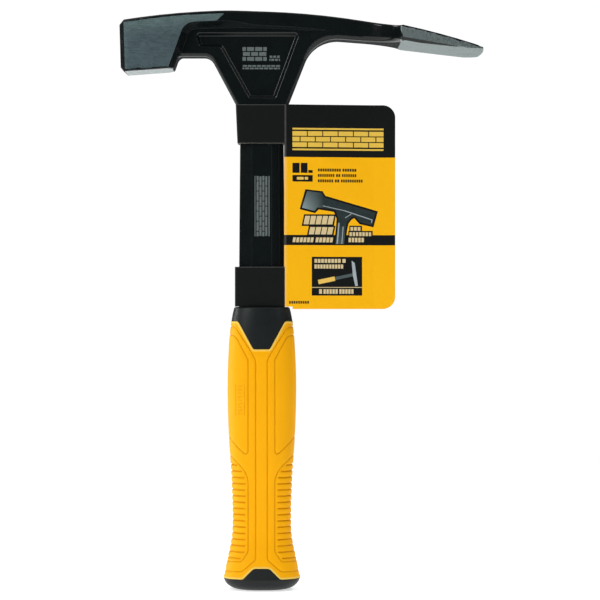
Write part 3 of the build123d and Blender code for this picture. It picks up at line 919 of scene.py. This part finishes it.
def arc(centre_x, centre_z, radius, start, end, count=12):
    angles = np.radians(np.linspace(start, end, count))
    return [(centre_x + radius * math.cos(a), centre_z + radius * math.sin(a)) for a in angles]


def on_back(points):
    """An outline drawn on the back, moved to its place on the flat card."""
    return [(back_of(x), z) for x, z in points][::-1]


def card_outline():
    """The flat card's outline, with the notch in its foot that clears the grip."""
    corner_x = CARD_RIGHT - CARD_CORNER
    right_edge = arc(corner_x, CARD_BOTTOM + CARD_CORNER, CARD_CORNER, -90, 0)
    right_edge += arc(corner_x, CARD_TOP - CARD_CORNER, CARD_CORNER, 0, 90)
    front = [(NOTCH_X, BAND_FOOT), (NOTCH_X, CARD_BOTTOM), *right_edge]
    return front + on_back(front)


def card_window():
    right, left = WINDOW_RIGHT, back_of(WINDOW_RIGHT)
    return [(left, LOWER_BAND), (right, LOWER_BAND), (right, UPPER_BAND), (left, UPPER_BAND)]


def inside(polygon, places):
    """Which places lie inside a polygon, by counting crossings."""
    x, z = places.T
    found = np.zeros(len(places), bool)
    for (x0, z0), (x1, z1) in zip(polygon, polygon[1:] + polygon[:1]):
        if z0 == z1:
            continue
        crosses = (z0 > z) != (z1 > z)
        found ^= crosses & (x < x0 + (z - z0) / (z1 - z0) * (x1 - x0))
    return found


def printed_triangles():
    """The flat card cut into triangles along every shape, and the ink of each triangle."""
    shapes = [("board", card_outline()), *front_print()]
    shapes += [(ink, on_back(outline)) for ink, outline in back_print()]
    shapes.append(("hole", card_window()))

    points, edges, faces = [], [], []
    for _, outline in shapes:
        faces.append(list(range(len(points), len(points) + len(outline))))
        points += [Vector(point) for point in outline]
    for u in FOLD[:, 0]:
        edges.append((len(points), len(points) + 1))
        points += [Vector((u, CARD_BOTTOM - 1)), Vector((u, CARD_TOP + 1))]
    for u in np.arange(-90.0, 70.0, BOARD_STEP):
        heights = np.arange(CARD_BOTTOM + 2.0, CARD_TOP, BOARD_STEP)
        points += [Vector((u + 0.3 * (z % 3), z)) for z in heights]
    made, _, triangles, _, _, _ = delaunay_2d_cdt(points, edges, faces, 0, 1e-5, False)

    made, triangles = np.array(made), np.array(triangles)
    middles = made[triangles].mean(axis=1)
    inks = np.full(len(triangles), -1)
    for ink, outline in shapes:
        where = inside(outline, middles)
        if ink == "hole":
            inks[where] = -1
        elif ink == "board":
            inks[where] = INKS.index(ink)
        else:
            inks[where & (inks >= 0)] = INKS.index(ink)
    used, triangles = np.unique(triangles[inks >= 0], return_inverse=True)
    return made[used], triangles.reshape(-1, 3), inks[inks >= 0]


def folded(flat):
    """The flat points' places on the outer and the inner side of the card round the shank."""
    u, z = flat.T
    x, y, out_x, out_y = (np.interp(u, FOLD[:, 0], FOLD[:, column]) for column in (1, 2, 3, 4))
    # The upper band follows the neck's taper
    upper = (z - UPPER_BAND) / (CARD_TOP - UPPER_BAND)
    snug = (LEAF_START - SNUG_LEFT + NECK_FLARE * upper) / (LEAF_START - CARD_LEFT)
    banded = (upper > -1e-3) & (x < LEAF_START)
    x = np.where(banded, LEAF_START + (x - LEAF_START) * snug, x)
    # Round the fold the direction out has a length of 1; on the leaves its y has
    length = np.where(np.abs(out_x) > 0.5, np.hypot(out_x, out_y), 1.0)
    out_x, out_y = out_x / length, out_y / length
    # The leaves bow and ripple a little, together, so that they don't meet
    free = smooth((x - LEAF_START) / LEAF_EASE)
    bow = LEAF_BOW * free * np.sin((z - CARD_BOTTOM) / BOW_HEIGHT * math.pi * BOW_WAVES + BOW_START)
    bow += LEAF_RIPPLE * free * np.sin(x / RIPPLE_X + z / RIPPLE_Z)
    outer = np.column_stack([x, y + bow, z])
    inner = np.column_stack([x - out_x * GAUGE, y + bow - out_y * GAUGE * 0.98, z])
    return outer, inner


def sheet_faces(flat, triangles, inks):
    """Faces and inks of the printed side, the bare inner side and the cut edges."""
    faces, face_inks, border = [], [], set()
    count = len(flat)
    for triangle, ink in zip(triangles.tolist(), inks.tolist()):
        a, b, c = flat[triangle]
        if (b[0] - a[0]) * (c[1] - a[1]) - (b[1] - a[1]) * (c[0] - a[0]) < 0:
            triangle.reverse()
        faces += [triangle, [i + count for i in reversed(triangle)]]
        face_inks += [ink, 0]
        for edge in zip(triangle, triangle[1:] + triangle[:1]):
            if edge[::-1] in border:
                border.remove(edge[::-1])
            else:
                border.add(edge)
    faces += [[b, a, a + count, b + count] for a, b in sorted(border)]
    return faces, face_inks + [0] * len(border)


def build_card():
    flat, triangles, inks = printed_triangles()
    faces, face_inks = sheet_faces(flat, triangles, inks)
    mesh = bpy.data.meshes.new("retail_card_printed")
    mesh.from_pydata((np.concatenate(folded(flat)) * MM).tolist(), [], faces)
    mesh.polygons.foreach_set("material_index", face_inks)
    mesh.shade_smooth()
    mesh.set_sharp_from_angle(angle=math.radians(25))
    mesh.validate()
    card = bpy.data.objects.new("retail_card_printed", mesh)
    scene.collection.objects.link(card)
    return card


INK_TONES = {  # two tones and the roughness
    "board": ((0.62, 0.57, 0.47), (0.72, 0.67, 0.56), 0.7),
    "yellow": ((0.95, 0.462, 0.0012), (0.985, 0.498, 0.0018), 0.52),
    "black": ((0.0030, 0.0042, 0.0042), (0.0048, 0.0060, 0.0060), 0.46),
    "gold": ((0.76, 0.49, 0.06), (0.84, 0.56, 0.09), 0.50),
    "steel_grey": ((0.010, 0.017, 0.018), (0.035, 0.050, 0.052), 0.42),
    "steel_light": ((0.30, 0.36, 0.38), (0.42, 0.48, 0.50), 0.42),
    "cream": ((0.64, 0.50, 0.25), (0.74, 0.60, 0.34), 0.42),
    "amber": ((0.82, 0.52, 0.10), (0.88, 0.58, 0.13), 0.42),
}
PICTURE_LIT = (0.24, 0.31, 0.31)
# Tones for the rubbed cut edges and for the painted highlight along the fold
RUBBED_AND_HIGHLIGHT_YELLOW, RUBBED_AND_HIGHLIGHT_DARK = (0.72, 0.62, 0.36), (0.13, 0.13, 0.12)


def rubbed_edges_and_crease_highlight(s):
    """The bands' cut edges, where the board shows through the ink, and a painted highlight along the fold
    beside the window.
    """
    # Painted highlight along the fold beside the window
    crease_highlight = s.between(s.x, 11.8, 12.7, 0.2)
    cut_edges = s.most(
        s.above(s.z, CARD_TOP - 0.45, 0.12),
        s.between(s.z, UPPER_BAND - 0.1, UPPER_BAND + 0.45, 0.12),
        s.between(s.z, LOWER_BAND - 0.45, LOWER_BAND + 0.1, 0.12),
    )
    rubbed_and_highlighted = s.most(crease_highlight, s.times(cut_edges, s.below(s.x, LEAF_START, 0.2), 0.8))
    return s.times(rubbed_and_highlighted, s.fit(s.noise(1.2, 3), 0.3, 0.7, 0.2, 0.6))


def ink_finish(name, low, high, rough):
    s = Shader("card_" + name)
    tone = s.mix(s.noise(0.5, 4, 0.6), low, high)
    if name == "steel_grey":
        # The pictured head is lit from its lower left, and the shaft from its foot
        lit = s.times(s.fit(s.x, 32.0, 21.5), s.fit(s.z, 206.5, 198.0, 0.35, 1.0))
        lit = s.most(lit, s.fit(s.z, 189.0, 177.0, 0.0, 0.25))
        tone = s.mix(lit, tone, PICTURE_LIT)
    if name != "board":
        # The cut edges rubbed pale, and a painted highlight along the fold
        tone = s.mix(rubbed_edges_and_crease_highlight(s), tone, RUBBED_AND_HIGHLIGHT_YELLOW if name == "yellow" else RUBBED_AND_HIGHLIGHT_DARK)
    fibres = s.noise(2.2, 4, 0.65, s.scaled(1.0, 1.0, 0.45))
    rough = s.fit(fibres, 0.3, 0.7, rough, rough + 0.08)
    return s.finish(tone, rough, s.bump(fibres, 0.012, 0.4), Specular_IOR_Level=0.15)


card = build_card()
for ink in INKS:
    card.data.materials.append(ink_finish(ink, *INK_TONES[ink]))
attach(card, "root")
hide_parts("retail_card")


# ---------------------------------------------------------------- studio, in metres
FLOOR_RINGS = (0.02, 0.05, 0.1, 0.2, 0.4, 0.7, 1.0)
FLOOR_SIDES = 48
FLOOR_DROP = 0.0002  # the floor lies just under the butt
FLOOR_TONES = (0.84, 0.84, 0.84), (0.87, 0.87, 0.87)
SOFTBOX_TARGET = (0.01, 0, 0.16)
SOFTBOXES = (  # name, place, size and power in watts
    ("key_left", (-0.95, -1.05, 1.00), (0.6, 0.8), 12.5),
    ("fill_right", (1.05, -0.9, 1.25), (0.6, 0.6), 6.0),
    ("strip_left", (-1.25, 0.42, 0.32), (0.3, 0.9), 8.0),
    ("back_key", (0.95, 1.0, 1.45), (0.6, 0.6), 14.0),
    ("back_fill", (-0.95, 0.95, 1.45), (0.6, 0.6), 6.0),
    ("top", (0.0, -0.1, 1.6), (1.0, 1.0), 3.0),
)
SEEN_WORLD = (1, 1, 1, 1), 1.02  # the white behind the hammer, for the camera only
FELT_WORLD = (0.93, 0.97, 1.0, 1), 0.07  # the faint cool light that falls on it from all round


def floor_finish():
    s = Shader("pale_floor")
    tone = s.mix(s.noise(0.01, 3), *FLOOR_TONES)
    glow = {"Emission_Color": (1, 1, 1, 1), "Emission_Strength": 0.60}
    return s.finish(tone, 0.7, Specular_IOR_Level=0.2, **glow)


def floor_disc():
    turns = [2 * math.pi * i / FLOOR_SIDES for i in range(FLOOR_SIDES)]
    vertices = [(0, 0, 0)]
    vertices += [(r * math.cos(turn), r * math.sin(turn), 0) for r in FLOOR_RINGS for turn in turns]
    here, after = range(FLOOR_SIDES), [(i + 1) % FLOOR_SIDES for i in range(FLOOR_SIDES)]
    faces = [(0, 1 + i, 1 + j) for i, j in zip(here, after)]
    for ring in range(len(FLOOR_RINGS) - 1):
        a = 1 + ring * FLOOR_SIDES
        b = a + FLOOR_SIDES
        faces += [(a + i, b + i, b + j, a + j) for i, j in zip(here, after)]
    mesh = bpy.data.meshes.new("floor")
    mesh.from_pydata(vertices, [], faces)
    mesh.materials.append(floor_finish())
    floor = bpy.data.objects.new("floor", mesh)
    floor.location = (0, 0, -FLOOR_DROP)
    scene.collection.objects.link(floor)


def studio_world():
    world = bpy.data.worlds.new("studio")
    scene.world = world
    world.use_nodes = True
    tree = world.node_tree
    tree.nodes.clear()
    path = tree.nodes.new("ShaderNodeLightPath")
    mixed = tree.nodes.new("ShaderNodeMixShader")
    out = tree.nodes.new("ShaderNodeOutputWorld")
    tree.links.new(path.outputs["Is Camera Ray"], mixed.inputs[0])
    for socket, (color, strength) in ((1, FELT_WORLD), (2, SEEN_WORLD)):
        background = tree.nodes.new("ShaderNodeBackground")
        background.inputs[0].default_value = color
        background.inputs[1].default_value = strength
        tree.links.new(background.outputs[0], mixed.inputs[socket])
    tree.links.new(mixed.outputs[0], out.inputs[0])


def softbox(name, place, size, power):
    light = bpy.data.lights.new(name, "AREA")
    light.shape = "RECTANGLE"
    light.size, light.size_y = size
    light.energy = power
    lamp = bpy.data.objects.new(name, light)
    lamp.location = place
    lamp.rotation_mode = "QUATERNION"
    lamp.rotation_quaternion = (Vector(SOFTBOX_TARGET) - Vector(place)).to_track_quat("-Z", "Y")
    lamp.visible_camera = False
    scene.collection.objects.link(lamp)


floor_disc()
studio_world()
for settings in SOFTBOXES:
    softbox(*settings)


# ---------------------------------------------------------------- camera
CAMERA_PLACE = (0.0198, -1.3, 0.150)  # metres
LENS, SENSOR = 150, 36  # millimetres on the camera

camera_data = bpy.data.cameras.new("camera")
camera_data.lens = LENS
camera_data.sensor_width = SENSOR
camera = bpy.data.objects.new("camera", camera_data)
camera.location = CAMERA_PLACE
camera.rotation_euler = (math.radians(90), 0, 0)
scene.collection.objects.link(camera)
scene.camera = camera
scene.view_settings.view_transform = "Standard"
